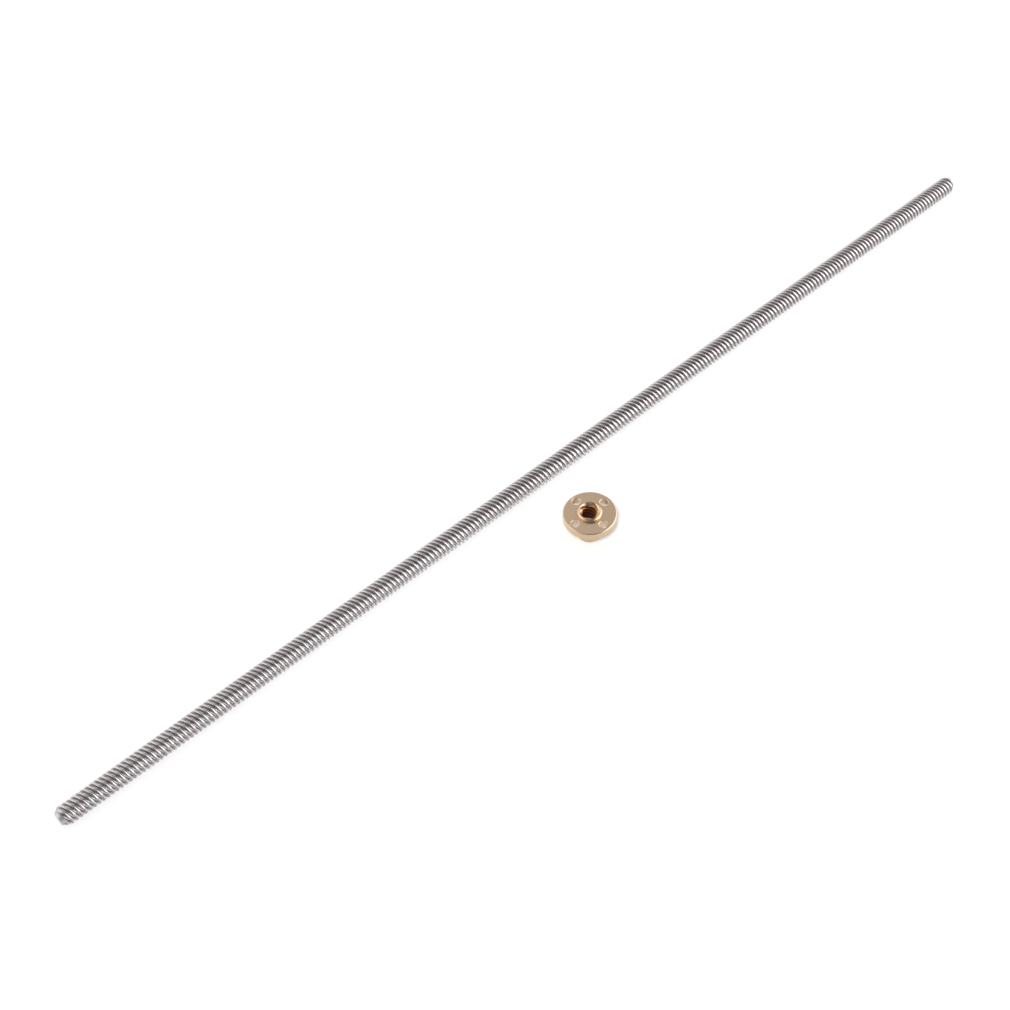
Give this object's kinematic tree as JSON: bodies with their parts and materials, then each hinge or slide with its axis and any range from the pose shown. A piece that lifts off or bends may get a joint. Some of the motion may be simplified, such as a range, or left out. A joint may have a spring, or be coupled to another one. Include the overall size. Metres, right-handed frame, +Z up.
{
  "type": "trapezoidal lead screw with flanged nut",
  "caption": "Steel multi-start trapezoidal lead screw lying flat, with its round flanged brass nut taken off and standing beside it.",
  "frame": {"origin": "centre of the screw's near end face, on the screw's axis; the surface that it lies on is at z = -4 mm", "axes": "+X along the screw from its near end to its far end, +Z up; the nut stands on the -Y side"},
  "size_m": [0.5, 0.049, 0.015],
  "materials": {
    "screw_steel": "rolled thread, bright",
    "nut_brass": "fine turned, satin"
  },
  "bodies": {
    "root": {"lead_screw": "screw_steel", "flange_nut": "nut_brass"}
  },
  "joints": []
}
